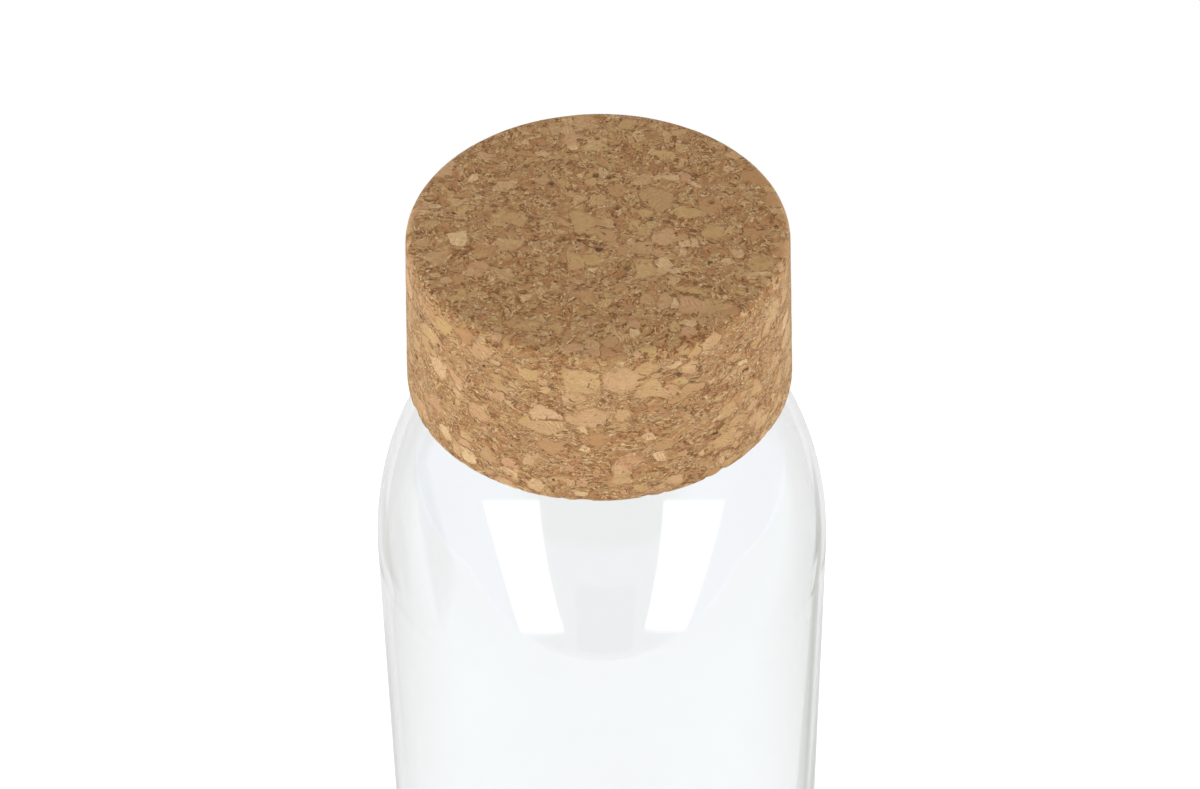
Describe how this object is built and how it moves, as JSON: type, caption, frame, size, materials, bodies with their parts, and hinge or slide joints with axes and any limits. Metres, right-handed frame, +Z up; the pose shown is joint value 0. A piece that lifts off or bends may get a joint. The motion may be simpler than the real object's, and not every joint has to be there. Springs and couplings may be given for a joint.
{
  "type": "glass bottle with cork lid",
  "caption": "Clear glass bottle with a rounded shoulder and threaded neck, closed by a wide screw-on cork lid with a threaded insert and a silicone seal.",
  "frame": {"origin": "centre of the bottle's foot, on the surface that it stands on", "axes": "+Z up along the bottle's axis; X and Y are equal directions across it"},
  "size_m": [0.07, 0.07, 0.215],
  "materials": {
    "clear_glass": "gloss",
    "granulated_cork": "matte",
    "insert_plastic": "satin",
    "silicone": "satin"
  },
  "bodies": {
    "bottle": {"glass_bottle": "clear_glass"},
    "seal": {"seal_gasket": "silicone"},
    "lid": {"cork_cap": "granulated_cork", "threaded_insert": "insert_plastic"}
  },
  "joints": [
    {"name": "lid_rise", "type": "slide", "parent": "bottle", "child": "seal", "axis": [0, 0, 1], "range_m": [0, 0.025]},
    {"name": "lid_turn", "type": "hinge", "parent": "seal", "child": "lid", "pos_m": [0, 0, 0.206], "axis": [0, 0, 1], "range_deg": [0, 1800]}
  ],
  "couplings": [
    {"joint": "lid_rise", "follows": "lid_turn", "m_per_rad": 0.00079577}
  ]
}
